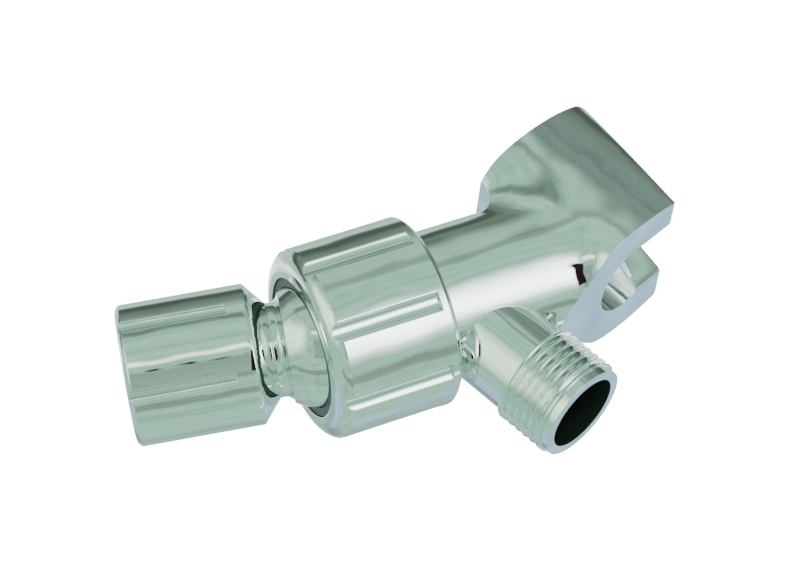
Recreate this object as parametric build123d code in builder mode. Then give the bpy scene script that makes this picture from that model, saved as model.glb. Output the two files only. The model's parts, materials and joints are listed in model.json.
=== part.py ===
"""Hand-shower bracket for the end of a shower arm, in millimetres.

A fluted inlet with a ball screws on to the arm's pipe. A fluted clamp nut and a plastic ring
hold the ball in the end of a cast bracket, which carries the hose outlet and a slotted cradle.

Frame: the hose outlet points along -Z, the cradle's slot opens towards +X, and the casting is
symmetric about Y = 0. The origin is on the outlet's axis, at the outer end of its thread.
"""

import os
from math import cos, radians, sin, sqrt

from build123d import *

# Hose outlet of the casting: a male half-inch pipe thread, drawn at its crests.
THREAD_OD = 20.955
THREAD_LENGTH = 10.5
OUTLET_RING_OD = 19.8
OUTLET_RING_LENGTH = 1.8
OUTLET_NECK_OD = 19.1
OUTLET_BORE = 15.8

# Tube of the casting, which runs down from the ball to the cradle.
TUBE_OD = 29.6
TUBE_FALL = 21.0
TUBE_AXIS_HEIGHT = 34.2
WATERWAY_BORE = 14.0
WATERWAY_END = 5.0

# Cradle at the tube's end, measured from the point where the tube's and the outlet's axes cross.
CRADLE_TOP = 11.0
CRADLE_BOTTOM = 20.0
CRADLE_BACK = 19.0
CRADLE_OVERHANG = 0.8
CRADLE_WIDEST = 29.0
CRADLE_SHOULDER_INSET = 1.4
CRADLE_SHOULDER_BACK = 22.0
CRADLE_REACH = 47.0
CRADLE_TIP_WIDTH = 21.0
TIP_LEAN = 12.4
TIP_ROUND = 1.8
FLARE_RADIUS = 8.0
STEP_BACK = 19.7
STEP_WIDTH = 21.6
SOCKET_CENTRE = 31.3
SOCKET_LEAN = 8.0
SOCKET_TOP_RADIUS = 11.0
SOCKET_BOTTOM_RADIUS = 8.3
SLOT_WIDTH = 15.0
SLOT_ROUND = 0.6

# Ball joint between the inlet and the casting.
BALL_RADIUS = 12.5
BALL_BACK = 27.1
BALL_GAP = 0.12
BEND = 16.85
BEND_ROLL = 29.9

# Inlet, measured outwards from the ball's centre along its own axis.
INLET_OD = 27.5
INLET_END = 37.6
INLET_SHOULDER = 12.7
INLET_END_ROUND = 2.0
INLET_THREAD_MINOR = 18.631
INLET_THREAD_DEPTH = 13.2
INLET_BORE = 10.0
INLET_SHOULDER_ROUND = 0.5
LIP_OD = 18.7
LIP_POSITION = 9.0
NECK_OD = 18.44
NECK_WAIST = 7.9
NECK_START = 6.4
INLET_FLUTES = 6
INLET_FLUTE_WIDTH = 2.5
INLET_FLUTE_DEPTH = 0.7
INLET_FLUTE_MARGIN = 4.0
INLET_TURN = 38.0
WASHER_THICKNESS = 2.3
WASHER_OD = 17.2
WASHER_BORE = 11.0

# Clamp nut, measured from the ball's centre along the tube.
NUT_WALL = 4.05
NUT_FRONT = 3.7
NUT_OUTLET_GAP = 0.4
NUT_PASS_GAP = 0.2
NUT_LIP = 2.1
NUT_FRONT_ROUND = 4.0
NUT_REAR_ROUND = 2.4
NUT_FLUTES = 8
NUT_FLUTE_WIDTH = 3.8
NUT_FLUTE_DEPTH = 1.0
NUT_FLUTE_MARGIN = 2.6
NUT_TURN = 32.0
FLUTE_EDGE_ROUND = 0.4
END_ROUND_PROUD = 0.3

# Bearing ring and seal around the ball.
RING_FRONT = 3.4
RING_REAR = 2.2
RING_SPLIT = 1.0
SEAL_SECTION_RADIUS = 1.6
SEAL_RADIUS = 11.2
CAST_GAP = 0.15
END_GAP = 0.1

# Directions and planes that the pieces share.
TUBE_DIRECTION = Vector(cos(radians(TUBE_FALL)), 0, -sin(radians(TUBE_FALL)))
TUBE_NORMAL = Vector(sin(radians(TUBE_FALL)), 0, cos(radians(TUBE_FALL)))
SIDE = Vector(0, 1, 0)
CROSSING = Vector(0, 0, TUBE_AXIS_HEIGHT)
BALL_CENTRE = CROSSING - TUBE_DIRECTION * BALL_BACK
BEND_DIRECTION = TUBE_NORMAL * cos(radians(BEND_ROLL)) + SIDE * sin(radians(BEND_ROLL))
INLET_DIRECTION = BEND_DIRECTION * sin(radians(BEND)) - TUBE_DIRECTION * cos(radians(BEND))
TILT_AXIS = TUBE_DIRECTION.cross(BEND_DIRECTION)

BALL_TUBE = Plane(BALL_CENTRE, x_dir=TUBE_NORMAL, z_dir=TUBE_DIRECTION)
BALL_TUBE_PROFILE = Plane(BALL_CENTRE, x_dir=TUBE_DIRECTION, z_dir=-SIDE)
TUBE_LINE = Axis(BALL_CENTRE, TUBE_DIRECTION)
BALL_INLET = Plane(BALL_CENTRE, x_dir=TILT_AXIS, z_dir=INLET_DIRECTION)
BALL_INLET_PROFILE = Plane(BALL_CENTRE, x_dir=INLET_DIRECTION, z_dir=TILT_AXIS)
INLET_LINE = Axis(BALL_CENTRE, INLET_DIRECTION)

CRADLE = Plane(CROSSING, x_dir=(1, 0, 0), z_dir=(0, 0, 1))

THREAD_RADIUS = THREAD_OD / 2
TUBE_RADIUS = TUBE_OD / 2
CRADLE_WIDTH = TUBE_OD + 2 * CRADLE_OVERHANG
CRADLE_SHOULDER = TUBE_RADIUS - CRADLE_SHOULDER_INSET
NUT_BORE_RADIUS = TUBE_RADIUS + CAST_GAP
NUT_OD = 2 * (NUT_BORE_RADIUS + NUT_WALL)
NUT_OPENING = INLET_OD + 2 * NUT_PASS_GAP
BALL_CUP_RADIUS = SEAL_RADIUS + SEAL_SECTION_RADIUS + END_GAP
SEAL_POSITION = sqrt((BALL_RADIUS + BALL_GAP + SEAL_SECTION_RADIUS) ** 2 - SEAL_RADIUS**2)
SEAL_SHOULDER = SEAL_POSITION + SEAL_SECTION_RADIUS + END_GAP


def fluted_section(plane, outer_diameter, count, width, depth, turn):
    """A round bar's section with rounded grooves around it.

    Args:
        plane: plane of the section, centred on the bar's axis.
        outer_diameter: the bar's diameter over its lands.
        count: number of grooves.
        width: width of a groove at the surface.
        depth: depth of a groove below the surface.
        turn: angle of the first groove from the plane's x direction, in degrees.

    Returns:
        The section as a sketch.
    """
    radius = outer_diameter / 2
    groove_radius = (width**2 / 4 + depth**2) / (2 * depth)
    first_groove = plane.x_dir.rotate(Axis(plane.origin, plane.z_dir), turn)
    with BuildSketch(Plane(plane.origin, x_dir=first_groove, z_dir=plane.z_dir)) as section:
        Circle(radius)
        with PolarLocations(radius - depth + groove_radius, count):
            Circle(groove_radius, mode=Mode.SUBTRACT)
        fillet(section.vertices(), FLUTE_EDGE_ROUND)
    return section.sketch


def arc_middle(side, top):
    """The middle of a quarter round.

    Args:
        side: the round's end on the flat end of a bar.
        top: the round's end on the bar's outside.

    Returns:
        The point halfway along the round.
    """
    bulge = sin(radians(45))
    return (top[0] + (side[0] - top[0]) * bulge, side[1] + (top[1] - side[1]) * bulge)


def rounded_ends(plane, start, end, radius, start_round, end_round):
    """Half the profile of a bar with rounded ends, standing a little proud of the bar's lands.

    Args:
        plane: plane of the profile, with the bar's axis along x.
        start: position of the bar's first end.
        end: position of the bar's other end.
        radius: radius of the bar's lands.
        start_round: size of the rounding at the first end.
        end_round: size of the rounding at the other end.

    Returns:
        The half profile as a sketch.
    """
    proud = radius + END_ROUND_PROUD
    with BuildSketch(plane) as profile:
        with BuildLine():
            first = (start, radius - start_round)
            first_top = (start + start_round, proud)
            last_top = (end - end_round, proud)
            last = (end, radius - end_round)
            Polyline(last, (end, 0), (start, 0), first)
            ThreePointArc(first, arc_middle(first, first_top), first_top)
            Line(first_top, last_top)
            ThreePointArc(last_top, arc_middle(last, last_top), last)
        make_face()
    return profile.sketch


os.makedirs("parts", exist_ok=True)

# Inlet: a fluted barrel, then one turned profile from the cone to the ball.
INLET_RADIUS = INLET_OD / 2
NECK_RADIUS = NECK_OD / 2
LIP_RADIUS = LIP_OD / 2
FLUTE_START = INLET_SHOULDER + INLET_FLUTE_MARGIN
THREAD_BOTTOM = INLET_END - INLET_THREAD_DEPTH
WASHER_SEAT = THREAD_BOTTOM - WASHER_THICKNESS

with BuildPart() as ball_inlet:
    barrel_section = fluted_section(
        BALL_INLET.offset(FLUTE_START),
        INLET_OD,
        INLET_FLUTES,
        INLET_FLUTE_WIDTH,
        INLET_FLUTE_DEPTH,
        INLET_TURN,
    )
    extrude(barrel_section, amount=INLET_END - FLUTE_START)
    barrel_ends = rounded_ends(
        BALL_INLET_PROFILE,
        FLUTE_START - INLET_END_ROUND,
        INLET_END,
        INLET_RADIUS,
        INLET_END_ROUND,
        INLET_END_ROUND,
    )
    revolve(barrel_ends, axis=INLET_LINE, mode=Mode.INTERSECT)
    with BuildSketch(BALL_INLET_PROFILE) as turned_profile:
        with BuildLine():
            neck_end = (NECK_START, sqrt(BALL_RADIUS**2 - NECK_START**2))
            lip = (LIP_POSITION, LIP_RADIUS)
            Line((-BALL_RADIUS, 0), (FLUTE_START, 0))
            Line((FLUTE_START, 0), (FLUTE_START, INLET_RADIUS))
            Line((FLUTE_START, INLET_RADIUS), (INLET_SHOULDER, INLET_RADIUS))
            Line((INLET_SHOULDER, INLET_RADIUS), lip)
            ThreePointArc(lip, (NECK_WAIST, NECK_RADIUS), neck_end)
            ThreePointArc(neck_end, (0, BALL_RADIUS), (-BALL_RADIUS, 0))
        make_face()
        shoulder = turned_profile.vertices().sort_by_distance((INLET_SHOULDER, INLET_RADIUS))[0]
        fillet(shoulder, INLET_SHOULDER_ROUND)
    revolve(axis=INLET_LINE)
    with BuildSketch(BALL_INLET.offset(-BALL_RADIUS)):
        Circle(INLET_BORE / 2)
    extrude(amount=BALL_RADIUS + INLET_END, mode=Mode.SUBTRACT)
    with BuildSketch(BALL_INLET.offset(WASHER_SEAT)):
        Circle(WASHER_OD / 2 + END_GAP)
    extrude(amount=WASHER_THICKNESS, mode=Mode.SUBTRACT)
    with BuildSketch(BALL_INLET.offset(THREAD_BOTTOM)):
        Circle(INLET_THREAD_MINOR / 2)
    extrude(amount=INLET_THREAD_DEPTH, mode=Mode.SUBTRACT)

with BuildPart() as inlet_washer:
    with BuildSketch(BALL_INLET.offset(WASHER_SEAT)):
        Circle(WASHER_OD / 2)
        Circle(WASHER_BORE / 2, mode=Mode.SUBTRACT)
    extrude(amount=WASHER_THICKNESS)

# Clamp nut: a fluted barrel with a plain rim at the rear and rounded ends.
NUT_RADIUS = NUT_OD / 2
NECK_BACK = (TUBE_RADIUS * sin(radians(TUBE_FALL)) - OUTLET_NECK_OD / 2) / cos(radians(TUBE_FALL))
NUT_REAR = BALL_BACK + NECK_BACK - NUT_OUTLET_GAP

with BuildPart() as clamp_nut:
    nut_section = fluted_section(
        BALL_TUBE.offset(-NUT_FRONT), NUT_OD, NUT_FLUTES, NUT_FLUTE_WIDTH, NUT_FLUTE_DEPTH, NUT_TURN
    )
    extrude(nut_section, amount=NUT_FRONT + NUT_REAR - NUT_FLUTE_MARGIN)
    with BuildSketch(BALL_TUBE.offset(NUT_REAR - NUT_FLUTE_MARGIN)):
        Circle(NUT_RADIUS)
    extrude(amount=NUT_FLUTE_MARGIN)
    nut_ends = rounded_ends(
        BALL_TUBE_PROFILE, -NUT_FRONT, NUT_REAR, NUT_RADIUS, NUT_FRONT_ROUND, NUT_REAR_ROUND
    )
    revolve(nut_ends, axis=TUBE_LINE, mode=Mode.INTERSECT)
    with BuildSketch(BALL_TUBE.offset(-NUT_FRONT)):
        Circle(NUT_OPENING / 2)
    extrude(amount=NUT_LIP, mode=Mode.SUBTRACT)
    with BuildSketch(BALL_TUBE.offset(NUT_LIP - NUT_FRONT)):
        Circle(NUT_BORE_RADIUS)
    extrude(amount=NUT_FRONT + NUT_REAR - NUT_LIP, mode=Mode.SUBTRACT)

# Bearing ring: a stepped plastic ring, hollowed to the ball and split on the far side.
RING_NOSE_RADIUS = NUT_OPENING / 2 - CAST_GAP
RING_FLANGE_RADIUS = NUT_BORE_RADIUS - CAST_GAP
RING_STEP = NUT_LIP - NUT_FRONT + END_GAP

with BuildPart() as bearing_ring:
    with BuildSketch(BALL_TUBE.offset(-RING_FRONT)):
        Circle(RING_NOSE_RADIUS)
    extrude(amount=RING_FRONT + RING_REAR)
    with BuildSketch(BALL_TUBE.offset(RING_STEP)):
        Circle(RING_FLANGE_RADIUS)
    extrude(amount=RING_REAR - RING_STEP)
    with Locations(BALL_CENTRE):
        Sphere(BALL_RADIUS + BALL_GAP, mode=Mode.SUBTRACT)
    with BuildSketch(BALL_TUBE.offset(-RING_FRONT)):
        with Locations((0, -RING_FLANGE_RADIUS / 2)):
            Rectangle(RING_SPLIT, RING_FLANGE_RADIUS)
    extrude(amount=RING_FRONT + RING_REAR, mode=Mode.SUBTRACT)

with BuildPart() as ball_seal:
    with BuildSketch(BALL_TUBE_PROFILE):
        with Locations((SEAL_POSITION, SEAL_RADIUS)):
            Circle(SEAL_SECTION_RADIUS)
    revolve(axis=TUBE_LINE)

# Casting: cradle block flared out of a stub of the tube, then the tube and the hose outlet.
BODY_FRONT = RING_REAR + END_GAP
CRADLE_TALL = 4 * TUBE_OD
TUBE_JOIN = BALL_BACK + (TUBE_RADIUS * cos(radians(TUBE_FALL)) - CRADLE_TOP) / sin(radians(TUBE_FALL))
STUB_END = BALL_BACK + CRADLE_WIDEST
TIP_SWEEP = CRADLE_TOP * sin(radians(TIP_LEAN)) / cos(radians(TIP_LEAN))

with BuildPart() as bracket_body:
    with BuildSketch(CRADLE.offset(-CRADLE_TALL / 2)):
        with BuildLine():
            tip = (CRADLE_REACH + TIP_SWEEP, CRADLE_TIP_WIDTH / 2)
            tip_far = (CRADLE_REACH + TIP_SWEEP, -CRADLE_TIP_WIDTH / 2)
            Spline(
                tip,
                (CRADLE_WIDEST, CRADLE_WIDTH / 2),
                (CRADLE_SHOULDER_BACK, CRADLE_SHOULDER),
                (CRADLE_BACK, 0),
                (CRADLE_SHOULDER_BACK, -CRADLE_SHOULDER),
                (CRADLE_WIDEST, -CRADLE_WIDTH / 2),
                tip_far,
            )
            Line(tip_far, tip)
        make_face()
    extrude(amount=CRADLE_TALL)
    with BuildSketch(BALL_TUBE.offset(BODY_FRONT)):
        Circle(TUBE_RADIUS)
    extrude(amount=STUB_END - BODY_FRONT)
    fillet(bracket_body.edges(Select.LAST).filter_by(GeomType.BSPLINE), FLARE_RADIUS)
    with BuildSketch(CRADLE):
        with Locations((STEP_BACK - CRADLE_TALL / 2, 0)):
            Rectangle(CRADLE_TALL, STEP_WIDTH)
    extrude(amount=CRADLE_TALL, mode=Mode.SUBTRACT)
    with BuildSketch(BALL_TUBE.offset(BODY_FRONT)):
        Circle(TUBE_RADIUS)
    extrude(amount=STUB_END - BODY_FRONT)
    split(bisect_by=CRADLE.offset(CRADLE_TOP), keep=Keep.BOTTOM)
    split(bisect_by=CRADLE.offset(-CRADLE_BOTTOM), keep=Keep.TOP)
    tip_normal = Vector(cos(radians(TIP_LEAN)), 0, -sin(radians(TIP_LEAN)))
    tip_plane = Plane(CROSSING + Vector(CRADLE_REACH, 0, 0), x_dir=SIDE, z_dir=tip_normal)
    split(bisect_by=tip_plane, keep=Keep.BOTTOM)
    tip_face = bracket_body.faces().filter_by(lambda face: face.normal_at().dot(tip_normal) > 0.999)
    fillet(tip_face.edges(), TIP_ROUND)
    with BuildSketch(BALL_TUBE.offset(BODY_FRONT)):
        Circle(TUBE_RADIUS)
    extrude(amount=TUBE_JOIN - BODY_FRONT)
    with BuildSketch(Plane.XY.offset(-OUTLET_RING_LENGTH)):
        Circle(OUTLET_NECK_OD / 2)
    extrude(amount=OUTLET_RING_LENGTH + TUBE_AXIS_HEIGHT)
    socket_sweep = (CRADLE_TOP + CRADLE_BOTTOM) * sin(radians(SOCKET_LEAN)) / cos(radians(SOCKET_LEAN))
    with BuildSketch(CRADLE.offset(-CRADLE_BOTTOM)):
        with Locations((SOCKET_CENTRE, 0)):
            Circle(SOCKET_BOTTOM_RADIUS)
    with BuildSketch(CRADLE.offset(CRADLE_TOP)):
        with Locations((SOCKET_CENTRE + socket_sweep, 0)):
            Circle(SOCKET_TOP_RADIUS)
    loft(mode=Mode.SUBTRACT)
    with BuildSketch(CRADLE.offset(-CRADLE_BOTTOM)):
        with Locations((SOCKET_CENTRE + CRADLE_REACH / 2, 0)):
            Rectangle(CRADLE_REACH, SLOT_WIDTH)
    extrude(amount=CRADLE_BOTTOM + CRADLE_TOP, mode=Mode.SUBTRACT)
    slot_ends = bracket_body.edges().filter_by(lambda edge: edge.center().X > CRADLE_REACH - CRADLE_TOP)
    slot_ends = slot_ends.filter_by(lambda edge: abs(abs(edge.center().Y) - SLOT_WIDTH / 2) < END_GAP)
    fillet(slot_ends, SLOT_ROUND)
    with BuildSketch(Plane.XY):
        Circle(THREAD_RADIUS)
    extrude(amount=THREAD_LENGTH)
    with BuildSketch(Plane.XY.offset(-OUTLET_RING_LENGTH)):
        Circle(OUTLET_RING_OD / 2)
    extrude(amount=OUTLET_RING_LENGTH)
    with BuildSketch(BALL_TUBE.offset(BODY_FRONT)):
        Circle(BALL_CUP_RADIUS)
    extrude(amount=SEAL_SHOULDER - BODY_FRONT, mode=Mode.SUBTRACT)
    with BuildSketch(BALL_TUBE.offset(SEAL_SHOULDER)):
        Circle(WATERWAY_BORE / 2)
    extrude(amount=BALL_BACK + WATERWAY_END - SEAL_SHOULDER, mode=Mode.SUBTRACT)
    with BuildSketch(Plane.XY.offset(-OUTLET_RING_LENGTH)):
        Circle(OUTLET_BORE / 2)
    extrude(amount=OUTLET_RING_LENGTH + TUBE_AXIS_HEIGHT, mode=Mode.SUBTRACT)

for name, piece in {
    "ball_inlet": ball_inlet,
    "inlet_washer": inlet_washer,
    "clamp_nut": clamp_nut,
    "bearing_ring": bearing_ring,
    "ball_seal": ball_seal,
    "bracket_body": bracket_body,
}.items():
    piece.part.label = name
    export_step(piece.part, f"parts/{name}.step")
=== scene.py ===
"""Studio scene of a chromed hand-shower bracket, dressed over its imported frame.

The casting and the ball inlet get their pipe threads as surfaces of their own; every other
piece keeps the frame's mesh and takes a finish of its own.
"""

import json
import logging
import math
from dataclasses import dataclass
from enum import Enum

import bpy
import numpy as np
from mathutils import Matrix, Vector


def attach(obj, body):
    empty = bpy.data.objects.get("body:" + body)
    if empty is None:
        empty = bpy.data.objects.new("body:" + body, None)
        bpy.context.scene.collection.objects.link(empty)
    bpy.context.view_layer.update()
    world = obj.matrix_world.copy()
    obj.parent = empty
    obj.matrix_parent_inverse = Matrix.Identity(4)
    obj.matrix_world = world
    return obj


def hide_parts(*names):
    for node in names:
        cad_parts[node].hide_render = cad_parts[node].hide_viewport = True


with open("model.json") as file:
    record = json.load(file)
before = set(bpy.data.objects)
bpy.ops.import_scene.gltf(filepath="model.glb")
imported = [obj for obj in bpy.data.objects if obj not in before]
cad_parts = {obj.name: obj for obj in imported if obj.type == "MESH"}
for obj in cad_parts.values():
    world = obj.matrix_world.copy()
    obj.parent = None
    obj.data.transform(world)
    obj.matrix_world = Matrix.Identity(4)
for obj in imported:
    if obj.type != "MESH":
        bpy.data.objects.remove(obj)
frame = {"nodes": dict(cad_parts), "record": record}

LOG = logging.getLogger("shower_bracket")
IMAGE_WIDTH = 800
IMAGE_HEIGHT = 581
MILLIMETRE = 0.001
NEAR = 0.02 * MILLIMETRE
MERGE = 1e-7
TINY = 1e-20
Triple = tuple[float, float, float]


class Body(Enum):
    """Moving bodies of the frame that new pieces ride on."""

    INLET = "inlet"
    BRACKET = "bracket"


class Slot(Enum):
    """Material slots of the record."""

    CHROME = "chrome"
    PLASTIC = "grey_plastic"
    RUBBER = "black_rubber"


def unit(vector: Triple | np.ndarray) -> np.ndarray:
    """The vector scaled to a length of one."""
    values = np.asarray(vector, float)
    return values / np.linalg.norm(values)


class NodeBuilder:
    """Short forms for adding and joining shader nodes in one node tree.

    Attributes:
        MIX_FIRST: place of a Mix node's first colour input.
        MIX_SECOND: place of its second colour input.
        MIX_RESULT: place of its colour output.
    """

    MIX_FIRST = 6
    MIX_SECOND = 7
    MIX_RESULT = 2

    def __init__(self, tree: bpy.types.NodeTree) -> None:
        """Keeps the tree to build in."""
        self.tree = tree

    def add(self, kind: str, **settings: object) -> bpy.types.Node:
        """Adds a node.

        Args:
            kind: the node's type name.
            settings: properties to set on it.

        Returns:
            The new node.
        """
        node = self.tree.nodes.new(kind)
        for name, value in settings.items():
            setattr(node, name, value)
        return node

    def feed(self, socket: bpy.types.NodeSocket, value: object) -> None:
        """Joins a socket to another node's output, or sets its value.

        Args:
            socket: the input to feed.
            value: an output socket or a plain value.
        """
        if isinstance(value, bpy.types.NodeSocket):
            self.tree.links.new(value, socket)
        else:
            socket.default_value = value

    def math(self, operation: str, *values: object) -> bpy.types.NodeSocket:
        """Adds a Math node.

        Args:
            operation: what the node works out.
            values: numbers or sockets to work on.

        Returns:
            The result.
        """
        node = self.add("ShaderNodeMath", operation=operation)
        for socket, value in zip(node.inputs, values):
            self.feed(socket, value)
        return node.outputs["Value"]

    def dot(self, first: object, second: object) -> bpy.types.NodeSocket:
        """Adds a dot product.

        Args:
            first: a vector or socket.
            second: the other one.

        Returns:
            The product.
        """
        node = self.add("ShaderNodeVectorMath", operation="DOT_PRODUCT")
        self.feed(node.inputs[0], first)
        self.feed(node.inputs[1], second)
        return node.outputs["Value"]

    def smooth_range(self, value: object, start: object, end: object) -> bpy.types.NodeSocket:
        """Adds a smooth step.

        Args:
            value: what to measure.
            start: where the step is 0.
            end: where the step is 1.

        Returns:
            The step's value.
        """
        node = self.add("ShaderNodeMapRange", interpolation_type="SMOOTHSTEP")
        self.feed(node.inputs["Value"], value)
        self.feed(node.inputs["From Min"], start)
        self.feed(node.inputs["From Max"], end)
        return node.outputs["Result"]

    def mix_colour(self, factor: object, first: object, second: object) -> bpy.types.NodeSocket:
        """Adds a mix of two colours.

        Args:
            factor: share of the second colour.
            first: the colour at 0.
            second: the colour at 1.

        Returns:
            The mixed colour.
        """
        node = self.add("ShaderNodeMix", data_type="RGBA")
        self.feed(node.inputs["Factor"], factor)
        self.feed(node.inputs[self.MIX_FIRST], first)
        self.feed(node.inputs[self.MIX_SECOND], second)
        return node.outputs[self.MIX_RESULT]


@dataclass(frozen=True)
class PhotoCamera:
    """Camera at the photograph's viewing angle.

    Attributes:
        target: point at the middle of the image.
        distance: distance from the camera to the target.
        azimuth: angle round the object from straight in front, in degrees.
        elevation: angle above the horizon, in degrees.
        roll: turn of the image about the line of sight, in degrees.
        focal_pixels: distance of the image plane, in pixels of the image.
        sensor: width of the camera's sensor, in millimetres.
        nearest: distance from which the camera sees.
        farthest: distance up to which it sees.
    """

    target: Triple = (-0.00588, -0.00187, 0.04129)
    distance: float = 0.7
    azimuth: float = -31.634
    elevation: float = -22.525
    roll: float = -50.575
    focal_pixels: float = 3617.9
    sensor: float = 36.0
    nearest: float = 0.01
    farthest: float = 10.0

    def axes(self) -> np.ndarray:
        """Works out the photographer's directions.

        Returns:
            Unit vectors to the right of the image, up it and back to the camera, as rows.
        """
        turn, lift, roll = map(math.radians, (self.azimuth, self.elevation, self.roll))
        back = np.array(
            [math.sin(turn) * math.cos(lift), -math.cos(turn) * math.cos(lift), math.sin(lift)]
        )
        level = unit(np.cross((0.0, 0.0, 1.0), back))
        upright = np.cross(back, level)
        right = level * math.cos(roll) + upright * math.sin(roll)
        return np.stack([right, np.cross(back, right), back])

    def build(self) -> bpy.types.Object:
        """Makes the camera and sets it as the scene's.

        Returns:
            The camera.
        """
        axes = self.axes()
        data = bpy.data.cameras.new("photo_camera")
        data.sensor_width = self.sensor
        data.lens = self.focal_pixels / IMAGE_WIDTH * self.sensor
        data.clip_start = self.nearest
        data.clip_end = self.farthest
        camera = bpy.data.objects.new("photo_camera", data)
        place = Matrix(axes.tolist()).transposed().to_4x4()
        place.translation = Vector(np.asarray(self.target) + axes[2] * self.distance)
        camera.matrix_world = place
        bpy.context.scene.collection.objects.link(camera)
        bpy.context.scene.camera = camera
        return camera


@dataclass(frozen=True)
class SoftPanel:
    """One soft-edged rectangle of light or dark at a great distance.

    Directions are the photographer's: to the right, up, and back to the camera.

    Attributes:
        towards: direction of the panel's middle, seen from the object.
        upright: rough direction of the panel's height.
        width: half width, as a share of the distance.
        height: half height, as a share of the distance.
        softness: width of the soft edge, as a share of the distance.
        colour: what the panel gives off.
        strength: how far the panel covers what is behind it.
    """

    towards: Triple
    upright: Triple
    width: float
    height: float
    softness: float
    colour: Triple
    strength: float = 1.0

    def axes(self, photographer: np.ndarray) -> tuple[np.ndarray, np.ndarray, np.ndarray]:
        """Works out the panel's own directions.

        Args:
            photographer: unit vectors to the right, up and back to the camera, as rows.

        Returns:
            Unit vectors across the panel, up it and towards it, in the object's frame.
        """
        middle = unit(self.towards) @ photographer
        across = unit(np.cross(np.asarray(self.upright, float) @ photographer, middle))
        return across, np.cross(middle, across), middle


TENT_PANELS = (
    # Dark room above the backdrop, and its darkest part just over the backdrop's edge.
    SoftPanel((0.0, 0.88, -0.47), (0.0, 0.47, 0.88), 4.0, 0.36, 0.45, (0.17, 0.235, 0.185), 0.95),
    SoftPanel((0.0, 0.78, -0.62), (0.0, 0.62, 0.78), 4.0, 0.14, 0.20, (0.085, 0.11, 0.09), 0.9),
    # Backdrop, with its sharp upper edge and the bright part level with the object.
    SoftPanel((0.0, 0.38, -0.92), (0.0, 0.92, 0.38), 4.0, 0.345, 0.05, (0.62, 1.02, 0.84)),
    SoftPanel((0.0, 0.02, -1.0), (0.0, 1.0, 0.0), 3.0, 0.16, 0.34, (2.1, 2.45, 2.45)),
    # Dim foot of the backdrop, darkest to the left.
    SoftPanel((0.10, -0.50, -0.86), (0.0, 0.86, -0.5), 1.2, 0.30, 0.36, (0.42, 0.64, 0.62), 0.9),
    SoftPanel((-0.40, -0.42, -0.81), (0.0, 0.81, -0.42), 0.22, 0.12, 0.30, (0.24, 0.37, 0.38), 0.9),
    # Sky light on the table, behind to the right and to the left.
    SoftPanel((0.58, -0.47, -0.67), (0.0, 0.82, -0.57), 0.34, 0.30, 0.25, (0.60, 0.97, 1.22)),
    SoftPanel((-0.70, -0.50, -0.50), (0.0, 0.71, -0.71), 0.22, 0.30, 0.20, (0.60, 0.97, 1.22)),
    # Light and dark stripes of cloth over the top.
    SoftPanel((0.0, 0.99, 0.17), (0.0, -0.17, 0.99), 3.0, 0.05, 0.09, (0.62, 0.92, 0.74), 0.8),
    SoftPanel((0.0, 0.93, 0.37), (0.0, -0.37, 0.93), 3.0, 0.06, 0.10, (0.32, 0.50, 0.38), 0.9),
    SoftPanel((-0.30, 0.90, 0.30), (0.0, -0.32, 0.95), 0.32, 0.08, 0.12, (0.17, 0.26, 0.20), 0.8),
    # Shade over the top to the right.
    SoftPanel((0.32, 0.94, 0.05), (0.0, 0.0, 1.0), 0.16, 0.30, 0.14, (0.22, 0.33, 0.27), 0.95),
    # Window to the right of the camera, and a softer one to the left.
    SoftPanel((0.62, 0.05, 0.78), (0.0, 1.0, 0.0), 0.26, 0.24, 0.70, (7.5, 8.3, 8.0)),
    SoftPanel((-0.78, 0.12, 0.61), (0.0, 1.0, 0.0), 0.48, 0.42, 0.50, (1.8, 2.5, 1.75), 0.95),
    # Lamp over the camera, the camera and the photographer below it.
    SoftPanel((-0.02, 0.30, 0.95), (0.0, 1.0, 0.0), 0.22, 0.05, 0.09, (2.2, 2.6, 2.2), 0.9),
    SoftPanel((0.08, -0.22, 0.97), (0.0, 1.0, 0.0), 0.26, 0.30, 0.12, (0.32, 0.52, 0.37), 0.9),
    SoftPanel((0.047, 0.10, 0.99), (0.0, 1.0, 0.0), 0.012, 0.03, 0.02, (0.02, 0.02, 0.02)),
    SoftPanel((0.36, -0.10, 0.93), (0.0, 1.0, 0.0), 0.195, 0.30, 0.05, (0.03, 0.016, 0.02)),
    # Dark edge of the table towards the camera.
    SoftPanel((0.17, -0.82, 0.55), (0.0, 0.55, 0.82), 1.2, 0.09, 0.08, (0.28, 0.43, 0.31), 0.9),
    # Narrow bright strip on the table to the right.
    SoftPanel((0.57, -0.81, -0.12), (0.0, 0.1, 0.9), 0.30, 0.05, 0.07, (2.0, 2.5, 2.3)),
)


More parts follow.
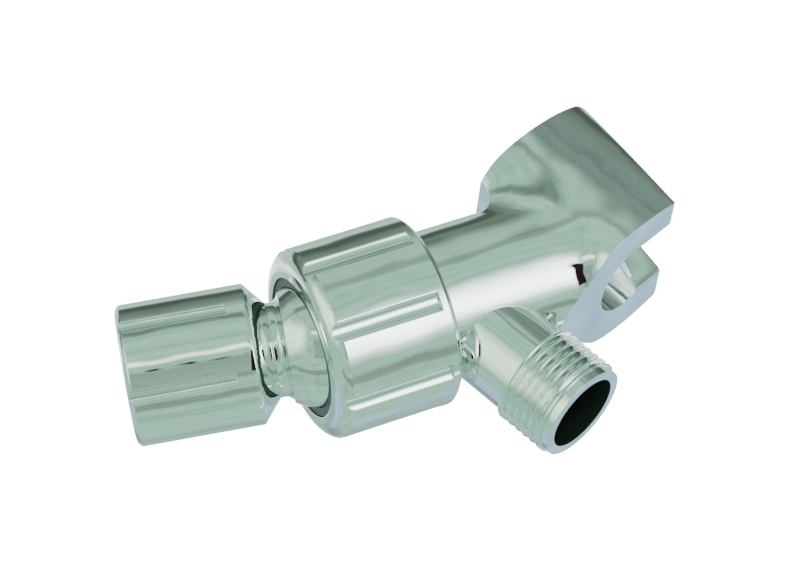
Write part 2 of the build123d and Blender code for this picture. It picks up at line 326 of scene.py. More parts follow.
@dataclass(frozen=True)
class Studio:
    """Light tent of soft panels, a white background and a pale floor.

    Attributes:
        wall: colour of the tent between the panels.
        folds: how much lighter or darker the folds of the tent's cloth are.
        fold_scale: folds to a unit of direction.
        fold_twist: how far the folds wander.
        grazing: cosine to a panel's middle below which the panel fades out.
        edge_on: least cosine that distances on a panel's plane are divided by.
        background: brightness that the camera sees behind the object.
        floor_level: height of the floor.
        floor_radius: radius of the floor.
        floor_colour: colour of the floor.
        floor_roughness: roughness of the floor.
        floor_sides: number of straight sides round the floor.
        panels: what hangs in the tent, each over the ones before it.
    """

    wall: Triple = (0.47, 0.91, 0.66)
    folds: float = 0.45
    fold_scale: float = 4.0
    fold_twist: float = 1.2
    grazing: float = 0.12
    edge_on: float = 0.02
    background: float = 18.0
    floor_level: float = -0.30
    floor_radius: float = 0.55
    floor_colour: Triple = (0.86, 0.86, 0.85)
    floor_roughness: float = 0.8
    floor_sides: int = 96
    panels: tuple[SoftPanel, ...] = TENT_PANELS

    def panel_group(self) -> bpy.types.NodeTree:
        """Builds the group that masks one panel.

        The mask is a smooth step of how far the direction lies inside the panel's sides, with
        both distances measured on a flat plane across the panel's middle.

        Returns:
            The group.
        """
        tree = bpy.data.node_groups.new("soft_panel", "ShaderNodeTree")
        for name in ("Direction", "Across", "Upright", "Middle"):
            tree.interface.new_socket(name, in_out="INPUT", socket_type="NodeSocketVector")
        for name in ("Width", "Height", "Softness", "Strength"):
            tree.interface.new_socket(name, in_out="INPUT", socket_type="NodeSocketFloat")
        tree.interface.new_socket("Mask", in_out="OUTPUT", socket_type="NodeSocketFloat")
        build = NodeBuilder(tree)
        given = build.add("NodeGroupInput").outputs
        ahead = build.dot(given["Direction"], given["Middle"])
        safe = build.math("MAXIMUM", ahead, self.edge_on)
        half = build.math("MULTIPLY", given["Softness"], 0.5)
        mask = build.smooth_range(ahead, 0.0, self.grazing)
        for axis, size in (("Across", "Width"), ("Upright", "Height")):
            offset = build.math("DIVIDE", build.dot(given["Direction"], given[axis]), safe)
            inside = build.math("SUBTRACT", given[size], build.math("ABSOLUTE", offset))
            edge = build.smooth_range(inside, build.math("MULTIPLY", half, -1.0), half)
            mask = build.math("MULTIPLY", mask, edge)
        mask = build.math("MULTIPLY", mask, given["Strength"])
        build.feed(build.add("NodeGroupOutput").inputs["Mask"], mask)
        return tree

    def build_world(self, photographer: np.ndarray) -> None:
        """Paints the panels over the tent's wall, and keeps the background plain.

        Args:
            photographer: unit vectors to the right, up and back to the camera, as rows.
        """
        world = bpy.data.worlds.new("light_tent")
        bpy.context.scene.world = world
        world.use_nodes = True
        world.node_tree.nodes.clear()
        build = NodeBuilder(world.node_tree)
        direction = build.add("ShaderNodeTexCoord").outputs["Generated"]
        group = self.panel_group()
        colour: object = (*self.wall, 1.0)
        for panel in self.panels:
            across, upright, middle = panel.axes(photographer)
            node = build.add("ShaderNodeGroup", node_tree=group)
            build.feed(node.inputs["Direction"], direction)
            node.inputs["Across"].default_value = across
            node.inputs["Upright"].default_value = upright
            node.inputs["Middle"].default_value = middle
            node.inputs["Width"].default_value = panel.width
            node.inputs["Height"].default_value = panel.height
            node.inputs["Softness"].default_value = panel.softness
            node.inputs["Strength"].default_value = panel.strength
            colour = build.mix_colour(node.outputs["Mask"], colour, (*panel.colour, 1.0))
        cloth = build.add("ShaderNodeTexNoise")
        build.feed(cloth.inputs["Vector"], direction)
        cloth.inputs["Scale"].default_value = self.fold_scale
        cloth.inputs["Distortion"].default_value = self.fold_twist
        fold = build.math("MULTIPLY_ADD", cloth.outputs["Fac"], 2 * self.folds, 1 - self.folds)
        folded = build.add("ShaderNodeVectorMath", operation="SCALE")
        build.feed(folded.inputs[0], colour)
        build.feed(folded.inputs["Scale"], fold)
        colour = folded.outputs["Vector"]
        seen = build.add("ShaderNodeLightPath").outputs["Is Camera Ray"]
        white = (self.background, self.background, self.background, 1.0)
        shade = build.add("ShaderNodeBackground")
        build.feed(shade.inputs["Color"], build.mix_colour(seen, colour, white))
        output = build.add("ShaderNodeOutputWorld")
        build.feed(output.inputs["Surface"], shade.outputs["Background"])

    def build_floor(self) -> None:
        """Makes a round pale floor, with points at even angles round a circle."""
        angles = np.linspace(0.0, 2 * math.pi, self.floor_sides, endpoint=False)
        ring = np.stack([np.cos(angles), np.sin(angles), np.zeros_like(angles)], axis=1)
        points = ring * self.floor_radius + np.array([0.0, 0.0, self.floor_level])
        mesh = bpy.data.meshes.new("floor")
        mesh.from_pydata(points, [], [list(range(len(points)))])
        floor = bpy.data.objects.new("floor", mesh)
        floor.visible_glossy = False
        bpy.context.scene.collection.objects.link(floor)
        material = bpy.data.materials.new("pale_floor")
        material.use_nodes = True
        shader = material.node_tree.nodes["Principled BSDF"]
        shader.inputs["Base Color"].default_value = (*self.floor_colour, 1.0)
        shader.inputs["Roughness"].default_value = self.floor_roughness
        mesh.materials.append(material)


class Surfaces:
    """Node groups of surface effects that the finishes share, each built once.

    Attributes:
        HAZE_SCALE: patches of haze to a metre.
        HAZE_DETAIL: steps of finer haze within a patch.
        GRAIN_DETAIL: steps of finer grain.
        MOTTLE_SCALE: patches of mottling to a metre.
    """

    HAZE_SCALE = 420.0
    HAZE_DETAIL = 4.0
    GRAIN_DETAIL = 3.0
    MOTTLE_SCALE = 160.0

    def __init__(self) -> None:
        """Builds the groups."""
        self.polish = self.build_polish()
        self.grain = self.build_grain()

    @staticmethod
    def new_group(name: str, inputs: tuple[str, ...], outputs: tuple[str, ...]) -> bpy.types.NodeTree:
        """Makes an empty group with a Vector input.

        Args:
            name: name of the group.
            inputs: names of its number inputs.
            outputs: names of its number outputs.

        Returns:
            The group.
        """
        tree = bpy.data.node_groups.new(name, "ShaderNodeTree")
        tree.interface.new_socket("Vector", in_out="INPUT", socket_type="NodeSocketVector")
        for socket in inputs:
            tree.interface.new_socket(socket, in_out="INPUT", socket_type="NodeSocketFloat")
        for socket in outputs:
            tree.interface.new_socket(socket, in_out="OUTPUT", socket_type="NodeSocketFloat")
        return tree

    def build_polish(self) -> bpy.types.NodeTree:
        """Polished plate: slow swells under the plate, and a haze that varies in patches.

        Returns:
            A group whose Height is a slow noise and whose Roughness is the plate's own plus a
            share of a finer noise.
        """
        tree = self.new_group("polish", ("Swell Scale", "Roughness", "Haze"), ("Height", "Roughness"))
        build = NodeBuilder(tree)
        given = build.add("NodeGroupInput").outputs
        swell = build.add("ShaderNodeTexNoise")
        build.feed(swell.inputs["Vector"], given["Vector"])
        build.feed(swell.inputs["Scale"], given["Swell Scale"])
        swell.inputs["Detail"].default_value = 1.0
        haze = build.add("ShaderNodeTexNoise")
        build.feed(haze.inputs["Vector"], given["Vector"])
        haze.inputs["Scale"].default_value = self.HAZE_SCALE
        haze.inputs["Detail"].default_value = self.HAZE_DETAIL
        extra = build.math("MULTIPLY", haze.outputs["Fac"], given["Haze"])
        output = build.add("NodeGroupOutput")
        build.feed(output.inputs["Height"], swell.outputs["Fac"])
        build.feed(output.inputs["Roughness"], build.math("ADD", given["Roughness"], extra))
        return tree

    def build_grain(self) -> bpy.types.NodeTree:
        """Moulded skin: fine pits, and a slow mottling of the shade.

        Returns:
            A group whose Height is a fine noise and whose Mottle is a slow one.
        """
        tree = self.new_group("moulded_grain", ("Grain Scale",), ("Height", "Mottle"))
        build = NodeBuilder(tree)
        given = build.add("NodeGroupInput").outputs
        grain = build.add("ShaderNodeTexNoise")
        build.feed(grain.inputs["Vector"], given["Vector"])
        build.feed(grain.inputs["Scale"], given["Grain Scale"])
        grain.inputs["Detail"].default_value = self.GRAIN_DETAIL
        mottle = build.add("ShaderNodeTexNoise")
        build.feed(mottle.inputs["Vector"], given["Vector"])
        mottle.inputs["Scale"].default_value = self.MOTTLE_SCALE
        output = build.add("NodeGroupOutput")
        build.feed(output.inputs["Height"], grain.outputs["Fac"])
        build.feed(output.inputs["Mottle"], mottle.outputs["Fac"])
        return tree


@dataclass(frozen=True)
class ChromeFinish:
    """Mirror chrome plate, with painted shade inside the bores: there it turns near black, dull and not
    metallic.

    Attributes:
        name: name of the material.
        plate: colour of the plate.
        painted_shade: near-black colour painted inside the bores as their shade.
        roughness: roughness of the clearest plate.
        bore_roughness: added roughness inside the bores, where the shade is painted.
        haze: added roughness where the plate is haziest.
        swell_scale: swells per metre under the plate.
        swell_depth: depth of the swells.
        edge_round: radius to which the polishing rounds the edges.
        edge_samples: rays that look for an edge near a point.
        bore_shade: name of the mesh attribute that marks the bores where shade is painted.
    """

    name: str
    plate: Triple = (0.80, 0.82, 0.82)
    # Near-black painted shade for the inside of the bores.
    painted_shade: Triple = (0.012, 0.013, 0.012)
    roughness: float = 0.02
    bore_roughness: float = 0.6
    haze: float = 0.03
    swell_scale: float = 70.0
    swell_depth: float = 0.0005
    edge_round: float = 0.00022
    edge_samples: int = 6
    bore_shade: str = "bore_shade"

    def build(self, surfaces: Surfaces) -> bpy.types.Material:
        """Builds the material.

        Args:
            surfaces: the shared groups.

        Returns:
            The material.
        """
        material = bpy.data.materials.new(self.name)
        material.use_nodes = True
        build = NodeBuilder(material.node_tree)
        shader = material.node_tree.nodes["Principled BSDF"]
        place = build.add("ShaderNodeTexCoord").outputs["Object"]
        polish = build.add("ShaderNodeGroup", node_tree=surfaces.polish)
        build.feed(polish.inputs["Vector"], place)
        polish.inputs["Swell Scale"].default_value = self.swell_scale
        polish.inputs["Roughness"].default_value = self.roughness
        polish.inputs["Haze"].default_value = self.haze
        # Painted shade: where the bore mark is set, the colour goes near black, the metal turns off and
        # the roughness grows.
        painted_shade = build.add("ShaderNodeAttribute", attribute_name=self.bore_shade).outputs["Fac"]
        outside_shade = build.math("SUBTRACT", 1.0, painted_shade)
        colour = build.mix_colour(painted_shade, (*self.plate, 1.0), (*self.painted_shade, 1.0))
        build.feed(shader.inputs["Base Color"], colour)
        build.feed(shader.inputs["Metallic"], outside_shade)
        dull = build.math("MULTIPLY", painted_shade, self.bore_roughness)
        build.feed(shader.inputs["Roughness"], build.math("ADD", polish.outputs["Roughness"], dull))
        edge = build.add("ShaderNodeBevel", samples=self.edge_samples)
        edge.inputs["Radius"].default_value = self.edge_round
        bump = build.add("ShaderNodeBump")
        build.feed(bump.inputs["Normal"], edge.outputs["Normal"])
        bump.inputs["Distance"].default_value = self.swell_depth
        build.feed(bump.inputs["Height"], polish.outputs["Height"])
        build.feed(shader.inputs["Normal"], bump.outputs["Normal"])
        return material


@dataclass(frozen=True)
class MouldedFinish:
    """Moulded plastic or rubber.

    Attributes:
        name: name of the material.
        dark: colour where the mottling is darkest.
        light: colour where the mottling is lightest.
        roughness: roughness of the skin.
        grain_scale: pits per metre.
        grain_depth: depth of the pits.
    """

    name: str
    dark: Triple
    light: Triple
    roughness: float
    grain_scale: float
    grain_depth: float

    def build(self, surfaces: Surfaces) -> bpy.types.Material:
        """Builds the material.

        Args:
            surfaces: the shared groups.

        Returns:
            The material.
        """
        material = bpy.data.materials.new(self.name)
        material.use_nodes = True
        build = NodeBuilder(material.node_tree)
        shader = material.node_tree.nodes["Principled BSDF"]
        place = build.add("ShaderNodeTexCoord").outputs["Object"]
        grain = build.add("ShaderNodeGroup", node_tree=surfaces.grain)
        build.feed(grain.inputs["Vector"], place)
        grain.inputs["Grain Scale"].default_value = self.grain_scale
        colour = build.mix_colour(grain.outputs["Mottle"], (*self.dark, 1.0), (*self.light, 1.0))
        build.feed(shader.inputs["Base Color"], colour)
        shader.inputs["Roughness"].default_value = self.roughness
        bump = build.add("ShaderNodeBump")
        bump.inputs["Distance"].default_value = self.grain_depth
        build.feed(bump.inputs["Height"], grain.outputs["Height"])
        build.feed(shader.inputs["Normal"], bump.outputs["Normal"])
        return material


class Shell:
    """A triangle mesh as arrays: merged points, triangles and a normal at each corner.

    Attributes:
        LIKENESS: least cosine between two normals of one smooth surface.
    """

    LIKENESS = 0.94

    def __init__(self, points: np.ndarray, triangles: np.ndarray, normals: np.ndarray) -> None:
        """Keeps the arrays.

        Args:
            points: one row for each point.
            triangles: three point numbers for each triangle.
            normals: three normals for each triangle.
        """
        self.points = points
        self.triangles = triangles
        self.normals = normals

    @classmethod
    def of_node(cls, name: str) -> "Shell":
        """Makes a merged copy of a CAD node's mesh, with the node's own corner normals.

        Args:
            name: the node's name.

        Returns:
            The shell, without triangles that have lost a side.
        """
        mesh = frame["nodes"][name].data
        loose = np.empty(len(mesh.vertices) * 3)
        mesh.vertices.foreach_get("co", loose)
        corners = np.empty(len(mesh.loops), dtype=np.int64)
        mesh.loops.foreach_get("vertex_index", corners)
        normals = np.empty(len(mesh.loops) * 3)
        mesh.corner_normals.foreach_get("vector", normals)
        grid = np.round(loose.reshape(-1, 3) / MERGE).astype(np.int64)
        unique, places = np.unique(grid, axis=0, return_inverse=True)
        triangles = places.ravel()[corners].reshape(-1, 3)
        whole = np.all(triangles != np.roll(triangles, 1, axis=1), axis=1)
        return cls(unique * MERGE, triangles[whole], normals.reshape(-1, 3, 3)[whole])

    def corners(self) -> np.ndarray:
        """The corner points of every triangle."""
        return self.points[self.triangles]

    def keep(self, wanted: np.ndarray) -> None:
        """Drops the triangles that aren't wanted."""
        self.triangles = self.triangles[wanted]
        self.normals = self.normals[wanted]

    def add(self, points: np.ndarray, triangles: np.ndarray, normals: np.ndarray) -> None:
        """Adds a surface.

        Args:
            points: new points.
            triangles: triangles whose numbers already count the points there are.
            normals: three normals for each triangle.
        """
        self.points = np.concatenate([self.points, points])
        self.triangles = np.concatenate([self.triangles, triangles])
        self.normals = np.concatenate([self.normals, normals])

    def halve_edges(self, low: Triple, high: Triple, longest: float) -> None:
        """Halves every edge over a length that crosses a box.

        A triangle is cut from the middle of its longest such edge to the corner across from it,
        and the two parts are cut again at the middles of the other edges.

        Args:
            low: lowest corner of the box.
            high: highest corner of the box.
            longest: length above which an edge is halved.
        """
        ends = np.stack([self.triangles, np.roll(self.triangles, -1, axis=1)], axis=2)
        pairs, places = np.unique(np.sort(ends.reshape(-1, 2), axis=1), axis=0, return_inverse=True)
        first, second = self.points[pairs[:, 0]], self.points[pairs[:, 1]]
        crosses = (np.minimum(first, second) < high) & (np.maximum(first, second) > low)
        length = np.linalg.norm(first - second, axis=1)
        split = np.all(crosses, axis=1) & (length > longest)
        number = len(self.points) + np.cumsum(split) - 1
        long = np.where(split, length, 0.0)[places].reshape(-1, 3)
        order = (np.arange(3) + np.argmax(long, axis=1)[:, None]) % 3
        row = np.arange(len(order))[:, None]
        halved = long[row, order] > 0
        halfway = self.normals + np.roll(self.normals, -1, axis=1)
        halfway = halfway / np.linalg.norm(halfway, axis=2, keepdims=True)
        spots = np.concatenate([self.triangles, number[places].reshape(-1, 3)], axis=1)
        facing = np.concatenate([self.normals, halfway], axis=1)
        order = np.concatenate([order, order + 3], axis=1)
        spots, facing = spots[row, order], facing[row, order]
        cut, second_cut, third_cut = halved.T
        cases = (
            (~cut, ((0, 1, 2),)),
            (cut & third_cut, ((0, 3, 5), (5, 3, 2))),
            (cut & ~third_cut, ((0, 3, 2),)),
            (cut & second_cut, ((3, 1, 4), (3, 4, 2))),
            (cut & ~second_cut, ((3, 1, 2),)),
        )
        parts = [(rows, list(pick)) for rows, picks in cases for pick in picks]
        self.points = np.concatenate([self.points, (first[split] + second[split]) / 2])
        self.triangles = np.concatenate([spots[rows][:, pick] for rows, pick in parts])
        self.normals = np.concatenate([facing[rows][:, pick] for rows, pick in parts])

    def smooth_corners(self) -> np.ndarray:
        """Numbers the corners, with one number for a smooth fan of corners round a point.

        Returns:
            The numbers, from 0 up.
        """
        start = np.arange(self.triangles.size).reshape(-1, 3)
        end = np.roll(start, -1, axis=1)
        points = self.triangles.ravel()
        halves = np.stack([start.ravel(), end.ravel()], axis=1)
        keys = np.sort(points[halves], axis=1)
        order = np.lexsort((keys[:, 1], keys[:, 0]))
        same = np.all(keys[order[1:]] == keys[order[:-1]], axis=1)
        one, two = halves[order[:-1][same]], halves[order[1:][same]][:, ::-1]
        normals = self.normals.reshape(-1, 3)
        alike = np.all(np.sum(normals[one] * normals[two], axis=2) > self.LIKENESS, axis=1)
        one, two = one[alike].ravel(), two[alike].ravel()
        label = np.arange(len(points))
        while np.any(label[one] != label[two]):
            least = np.minimum(label[one], label[two])
            np.minimum.at(label, one, least)
            np.minimum.at(label, two, least)
        return np.unique(label, return_inverse=True)[1].ravel()

    def soften(self, share: np.ndarray, rounds: int) -> None:
        """Evens out the normals over smooth surfaces, up to their sharp edges.

        In each round a normal moves to the mean of its neighbours' normals, by its share.

        Args:
            share: for each point, how far its normals follow their neighbours, from 0 to 1.
            rounds: how often.
        """
        fan = self.smooth_corners()
        count = fan.max() + 1
        total = np.stack([np.bincount(fan, part, count) for part in self.normals.reshape(-1, 3).T])
        normal = (total / np.linalg.norm(total, axis=0)).T
        place = np.zeros(count, dtype=np.int64)
        place[fan] = self.triangles.ravel()
        follow = share[place][:, None]
        corner = fan.reshape(-1, 3)
        pairs = np.concatenate([corner[:, [0, 1]], corner[:, [1, 2]], corner[:, [2, 0]]])
        pairs = np.unique(np.sort(pairs, axis=1), axis=0)
        pairs = pairs[np.any(follow[pairs, 0] > 0, axis=1)]
        one = np.concatenate([pairs[:, 0], pairs[:, 1]])
        two = np.concatenate([pairs[:, 1], pairs[:, 0]])
        known = np.maximum(np.bincount(one, minlength=count), 1)[:, None]
        for _ in range(rounds):
            mean = np.stack([np.bincount(one, part, count) for part in normal[two].T], axis=1) / known
            normal = normal + follow * (mean - normal)
            normal = normal / np.linalg.norm(normal, axis=1, keepdims=True)
        self.normals = normal[fan].reshape(-1, 3, 3)

    def build(self, name: str, bore_shade: np.ndarray) -> bpy.types.Object:
        """Makes the object.

        Args:
            name: name of the object and its mesh.
            bore_shade: for each triangle, 1 where shade is painted inside a bore and 0 elsewhere.

        Returns:
            The object, at the origin.
        """
        used, places = np.unique(self.triangles, return_inverse=True)
        mesh = bpy.data.meshes.new(name)
        mesh.from_pydata(self.points[used], [], places.reshape(-1, 3))
        mesh.polygons.foreach_set("use_smooth", np.ones(len(self.triangles), dtype=bool))
        mesh.normals_split_custom_set(self.normals.reshape(-1, 3))
        # Mark of the triangles where the finish paints the bores' shade.
        mark = mesh.attributes.new("bore_shade", "FLOAT", "CORNER")
        mark.data.foreach_set("value", np.repeat(bore_shade.astype(np.float32), 3))
        mesh.update()
        piece = bpy.data.objects.new(name, mesh)
        bpy.context.scene.collection.objects.link(piece)
        return piece


@dataclass(frozen=True)
class PipeThread:
    """Half-inch pipe thread as one surface over an angle and a height.

    Attributes:
        origin: point on the axis where the thread starts.
        axis: direction in which the height grows.
        length: height of the thread.
        crest: radius of the plain wall that the groove is cut into.
        root: radius at the bottom of the groove.
        pitch: height of one turn.
        run_in: height over which the groove deepens at the start.
        run_out: height over which it fades at the end.
        steepness: how much steeper the flanks are than a plain triangle wave.
        rounding: how far the flanks are rounded at crest and root.
        around: number of steps around.
        per_turn: number of steps along one pitch.
    """

    origin: Triple
    axis: Triple
    length: float
    crest: float
    root: float
    pitch: float = 25.4 / 14 * MILLIMETRE
    run_in: float = 1.2 * MILLIMETRE
    run_out: float = 1.2 * MILLIMETRE
    steepness: float = 1.18
    rounding: float = 0.35
    around: int = 128
    per_turn: int = 16

    def basis(self) -> np.ndarray:
        """Works out the thread's own directions.

        Returns:
            Two unit vectors across the axis, and the axis, as rows.
        """
        axis = unit(self.axis)
        across = unit(np.cross(axis, (0.0, 1.0, 0.0)))
        return np.stack([across, np.cross(axis, across), axis])

    def polar(self, points: np.ndarray) -> tuple[np.ndarray, np.ndarray, np.ndarray]:
        """Measures points about the thread's axis.

        Args:
            points: the points.

        Returns:
            Their angles, radii and heights.
        """
        local = (points - np.asarray(self.origin)) @ self.basis().T
        angle = np.arctan2(local[..., 1], local[..., 0])
        return angle, np.hypot(local[..., 0], local[..., 1]), local[..., 2]

    def radius(self, angle: np.ndarray, height: np.ndarray) -> np.ndarray:
        """Radius of the thread's surface.

        The groove is a rounded triangle wave of the height in turns less the angle in turns,
        so it climbs one pitch in each turn, and it fades out at both ends.

        Args:
            angle: angle about the axis.
            height: height along the axis.

        Returns:
            The radius at each angle and height.
        """
        turns = height / self.pitch - angle / (2 * math.pi)
        wave = np.abs(2 * (turns - np.floor(turns)) - 1)
        wave = np.clip(self.steepness * wave - (self.steepness - 1) / 2, 0.0, 1.0)
        wave = wave * wave * (3 - 2 * wave) * self.rounding + wave * (1 - self.rounding)
        fade_in = np.clip(height / self.run_in, 0.0, 1.0)
        fade_out = np.clip((self.length - height) / self.run_out, 0.0, 1.0)
        depth = (self.root - self.crest) * fade_in * fade_out
        return self.crest + depth * wave

    def slope(self, angle: np.ndarray, height: np.ndarray) -> np.ndarray:
        """Works out normals: the radial direction less the radius's growth around and along.

        Args:
            angle: angle about the axis.
            height: height along the axis.

        Returns:
            The normals, away from the axis.
        """
        step = 1e-3
        rise = self.pitch * step
        around = self.radius(angle + step, height) - self.radius(angle - step, height)
        along = self.radius(angle, height + rise) - self.radius(angle, height - rise)
        across, beside, axis = self.basis()
        radial = np.cos(angle)[..., None] * across + np.sin(angle)[..., None] * beside
        tangent = np.cos(angle)[..., None] * beside - np.sin(angle)[..., None] * across
        turn = (around / (2 * step) / self.radius(angle, height))[..., None] * tangent
        normal = radial - turn - (along / (2 * rise))[..., None] * axis
        return normal / np.linalg.norm(normal, axis=-1, keepdims=True)

    @staticmethod
    def strip(lower: tuple[np.ndarray, np.ndarray], upper: tuple[np.ndarray, np.ndarray]) -> np.ndarray:
        """Triangles between two rings of points, each given as point numbers and sorted angles.

        Going once around by angle, each point that comes up makes one triangle with the point
        before it on its own ring and the last point passed on the other ring.

        Args:
            lower: the ring at the lower height.
            upper: the ring at the higher height.

        Returns:
            The triangles, seen anticlockwise from outside.
        """
        order = np.argsort(np.concatenate([lower[1], upper[1]]), kind="stable")
        is_lower = order < len(lower[1])
        low = np.cumsum(is_lower) - 1
        high = np.cumsum(~is_lower) - 1
        on_lower = np.stack([lower[0][low - 1], lower[0][low], upper[0][high]], axis=1)
        on_upper = np.stack([lower[0][low], upper[0][high], upper[0][high - 1]], axis=1)
        return np.where(is_lower[:, None], on_lower, on_upper)

    def rim(self, shell: Shell, radius: float, height: float) -> tuple[np.ndarray, np.ndarray]:
        """Finds a shell's points on one circle about the axis.

        Args:
            shell: the shell.
            radius: radius of the circle.
            height: height of the circle.

        Returns:
            The point numbers and their angles, sorted by angle.
        """
        used = np.unique(shell.triangles)
        angle, distance, level = self.polar(shell.points[used])
        near = (np.abs(distance - radius) < NEAR) & (np.abs(level - height) < NEAR)
        order = np.argsort(angle[near])
        return used[near][order], angle[near][order]

    def cut_into(self, shell: Shell, first: float, last: float) -> int:
        """Puts the thread in place of the plain wall of a shell.

        The wall's triangles are those whose corners all lie between the two rims. Rows of the
        new surface follow the radius at even heights, and a strip of triangles joins the first
        and last row to the rims that are left.

        Args:
            shell: the shell to change.
            first: radius of the rim where the thread starts.
            last: radius of the rim where it ends.

        Returns:
            The number of triangles added.
        """
        _, radius, height = self.polar(shell.corners())
        sizes = (first, last, self.crest)
        between = (radius > min(sizes) - NEAR) & (radius < max(sizes) + NEAR)
        within = (height > -NEAR) & (height < self.length + NEAR)
        shell.keep(~np.all(between & within, axis=1))
        bottom, top = self.rim(shell, first, 0.0), self.rim(shell, last, self.length)
        heights = np.linspace(0.0, self.length, round(self.length / self.pitch * self.per_turn))
        flush_bottom, flush_top = (int(abs(rim - self.crest) < NEAR) for rim in (first, last))
        heights = heights[flush_bottom : len(heights) - flush_top]
        turns = np.linspace(-math.pi, math.pi, self.around, endpoint=False)
        angle, level = np.meshgrid(turns, heights)
        across, beside, axis = self.basis()
        radial = np.cos(angle)[..., None] * across + np.sin(angle)[..., None] * beside
        grid = self.radius(angle, level)[..., None] * radial + level[..., None] * axis
        grid = grid + np.asarray(self.origin)
        slope = self.slope(angle, level)
        count = len(shell.points)
        numbers = count + np.arange(grid[..., 0].size).reshape(angle.shape)
        ahead = np.roll(numbers, -1, axis=1)
        quads = np.stack([numbers[:-1], ahead[:-1], ahead[1:], numbers[1:]], axis=-1).reshape(-1, 4)
        faces = np.concatenate([quads[:, [0, 1, 2]], quads[:, [0, 2, 3]]])
        joins = np.concatenate(
            [self.strip(bottom, (numbers[0], turns)), self.strip((numbers[-1], turns), top)]
        )
        points = np.concatenate([shell.points, grid.reshape(-1, 3)])
        base, second, third = points[joins].transpose(1, 0, 2)
        flat = np.cross(second - base, third - base)
        flat = flat / np.maximum(np.linalg.norm(flat, axis=1, keepdims=True), TINY)
        smooth = slope.reshape(-1, 3)[faces - count]
        normals = np.concatenate([smooth, np.repeat(flat[:, None], 3, axis=1)])
        triangles = np.concatenate([faces, joins])
        if self.root > self.crest:
            triangles, normals = triangles[:, ::-1], -normals[:, ::-1]
        shell.add(grid.reshape(-1, 3), triangles, normals)
        return len(triangles)


def smooth_step(values: np.ndarray, start: float, end: float) -> np.ndarray:
    """A smooth step from 0 at start to 1 at end."""
    share = np.clip((values - start) / (end - start), 0.0, 1.0)
    return share * share * (3 - 2 * share)


@dataclass(frozen=True)
class SoftZone:
    """Box of a casting where hand polishing has evened out the outside.

    Attributes:
        low: lowest corner of the box.
        high: highest corner of the box.
        fade: width over which the effect fades at the box's back, front and bottom.
        longest: longest edge of a triangle in the box.
        passes: how often long edges are halved.
        rounds: how often the normals are evened out.
        inward: sideways lean of a normal towards the middle, from which a face counts as inside.
        forward: lean of a normal along X from which a face counts as inside.
    """

    low: Triple
    high: Triple
    fade: float
    longest: float
    passes: int
    rounds: int
    inward: float = 0.05
    forward: float = 0.5

    def apply(self, shell: Shell) -> None:
        """Divides the triangles in the box and evens out the normals on its outside.

        Args:
            shell: the shell to change.
        """
        for _ in range(self.passes):
            shell.halve_edges(self.low, self.high, self.longest)
        x, y, z = shell.points.T
        share = smooth_step(x, self.low[0], self.low[0] + self.fade)
        share = share * (1 - smooth_step(x, self.high[0] - self.fade, self.high[0]))
        share = share * smooth_step(z, self.low[2], self.low[2] + self.fade)
        share = share * (1 - smooth_step(z, self.high[2], self.high[2] + self.fade))
        facing = np.zeros_like(shell.points)
        np.add.at(facing, shell.triangles.ravel(), shell.normals.reshape(-1, 3))
        facing = facing / np.maximum(np.linalg.norm(facing, axis=1, keepdims=True), TINY)
        inside = (facing[:, 1] * np.sign(y) < -self.inward) | (facing[:, 0] > self.forward)
        shell.soften(np.where(inside, 0.0, share), self.rounds)


FLARE = SoftZone(
    low=(0.008, -0.018, 0.014),
    high=(0.036, 0.018, 0.046),
    fade=6 * MILLIMETRE,
    longest=0.9 * MILLIMETRE,
    passes=7,
    rounds=140,
)


@dataclass(frozen=True)
class Casting:
    """Cast bracket with its hose outlet's thread and painted shade inside its bore.

    Attributes:
        thread_length: length of the outlet's thread.
        crest: radius over the thread's crests.
        root: radius at the bottom of the thread's groove.
        end_ring: radius of the plain ring at the outlet's end.
        neck: radius of the neck above the thread.
        bore: radius of the outlet's bore.
        bore_top: height where the bore ends under the tube's top.
    """

    thread_length: float = 10.5 * MILLIMETRE
    crest: float = 10.4775 * MILLIMETRE
    root: float = 9.3155 * MILLIMETRE
    end_ring: float = 9.9 * MILLIMETRE
    neck: float = 9.55 * MILLIMETRE
    bore: float = 7.9 * MILLIMETRE
    bore_top: float = 38.0 * MILLIMETRE

    def build(self, finish: bpy.types.Material) -> bpy.types.Object:
        """Copies the node, cuts the thread and marks the bore where shade is painted.

        Args:
            finish: material of the casting.

        Returns:
            The piece.
        """
        shell = Shell.of_node("bracket_body")
        FLARE.apply(shell)
        thread = PipeThread((0.0, 0.0, 0.0), (0.0, 0.0, 1.0), self.thread_length, self.crest, self.root)
        added = thread.cut_into(shell, self.end_ring, self.neck)
        middle = shell.corners().mean(axis=1)
        distance = np.hypot(middle[:, 0], middle[:, 1])
        # Triangles inside the bore below its top, whose shade the finish paints.
        in_bore_shade = (distance < self.bore + NEAR) & (middle[:, 2] < self.bore_top)
        piece = shell.build("bracket_casting", in_bore_shade)
        piece.data.materials.append(finish)
        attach(piece, Body.BRACKET.value)
        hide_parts("bracket_body")
        LOG.info("bracket_casting: thread of %d triangles", added)
        return piece


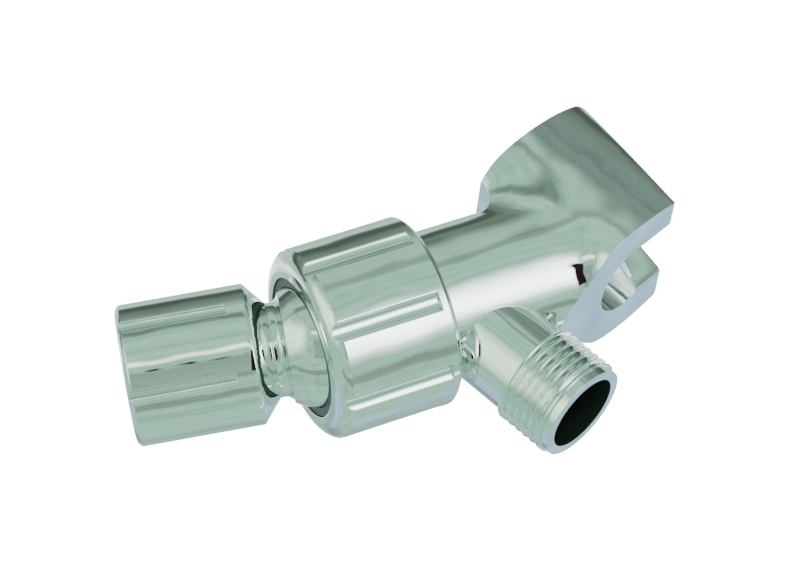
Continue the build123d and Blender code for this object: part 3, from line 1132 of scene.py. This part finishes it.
@dataclass(frozen=True)
class BallInlet:
    """Turned inlet with its ball and its inside thread.

    Attributes:
        root: radius at the bottom of the thread's groove.
        bore: radius of the water bore through the ball.
        neck: distances from the thread's bottom back to the neck's two ends.
        longest: longest edge of a triangle.
        passes: how often long edges are halved.
        rounds: how often the neck's normals are evened out.
        share: how far they follow their neighbours each time.
    """

    root: float = 10.4775 * MILLIMETRE
    bore: float = 5.0 * MILLIMETRE
    neck: tuple[float, float] = (10.6 * MILLIMETRE, 18.4 * MILLIMETRE)
    longest: float = 1.0 * MILLIMETRE
    passes: int = 4
    rounds: int = 8
    share: float = 0.8

    def build(self, finish: bpy.types.Material) -> bpy.types.Object:
        """Copies the node, cuts the thread and marks the bore where shade is painted.

        Args:
            finish: material of the inlet.

        Returns:
            The piece.
        """
        mount = next(m for m in frame["record"]["mounts"] if m["name"] == "inlet_thread")
        axis = unit(mount["axis"])
        length = mount["dims"]["length_mm"] * MILLIMETRE
        crest = mount["dims"]["r_mm"] * MILLIMETRE
        start = np.asarray(mount["pos_m"]) - axis * length / 2
        thread = PipeThread(tuple(start), tuple(axis), length, crest, self.root)
        shell = Shell.of_node("ball_inlet")
        added = thread.cut_into(shell, crest, crest)
        _, _, height = thread.polar(shell.points)
        turned = shell.points[(height < -self.neck[0]) & (height > -self.neck[1])]
        for _ in range(self.passes):
            shell.halve_edges(turned.min(axis=0), turned.max(axis=0), self.longest)
        _, distance, height = thread.polar(shell.points)
        outside = (height < -self.neck[0]) & (height > -self.neck[1]) & (distance > self.bore + NEAR)
        shell.soften(np.where(outside, self.share, 0.0), self.rounds)
        _, distance, _ = thread.polar(shell.corners())
        # Triangles inside the water bore, whose shade the finish paints.
        in_bore_shade = np.all(distance < self.bore + NEAR, axis=1)
        piece = shell.build("ball_inlet_turned", in_bore_shade)
        piece.data.materials.append(finish)
        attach(piece, Body.INLET.value)
        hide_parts("ball_inlet")
        LOG.info("ball_inlet_turned: thread of %d triangles", added)
        return piece


def main() -> None:
    """Builds the studio, the camera and the finishes."""
    logging.basicConfig(level=logging.INFO, format="%(name)s: %(message)s")
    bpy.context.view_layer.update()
    camera = PhotoCamera()
    camera.build()
    studio = Studio()
    studio.build_world(camera.axes())
    studio.build_floor()
    surfaces = Surfaces()
    chrome = ChromeFinish("chrome").build(surfaces)
    plastic = MouldedFinish(
        name="grey_plastic",
        dark=(0.022, 0.030, 0.029),
        light=(0.036, 0.047, 0.046),
        roughness=0.45,
        grain_scale=5200.0,
        grain_depth=0.01 * MILLIMETRE,
    )
    rubber = MouldedFinish(
        name="black_rubber",
        dark=(0.012, 0.012, 0.012),
        light=(0.03, 0.03, 0.03),
        roughness=0.6,
        grain_scale=3600.0,
        grain_depth=0.01 * MILLIMETRE,
    )
    finishes = {
        Slot.CHROME: chrome,
        Slot.PLASTIC: plastic.build(surfaces),
        Slot.RUBBER: rubber.build(surfaces),
    }
    for subpart in frame["record"]["subparts"]:
        node = frame["nodes"][subpart["node"]]
        node.data.materials.clear()
        node.data.materials.append(finishes[Slot(subpart["material_slot"])])
    Casting().build(chrome)
    BallInlet().build(chrome)


if __name__ == "__main__":
    main()
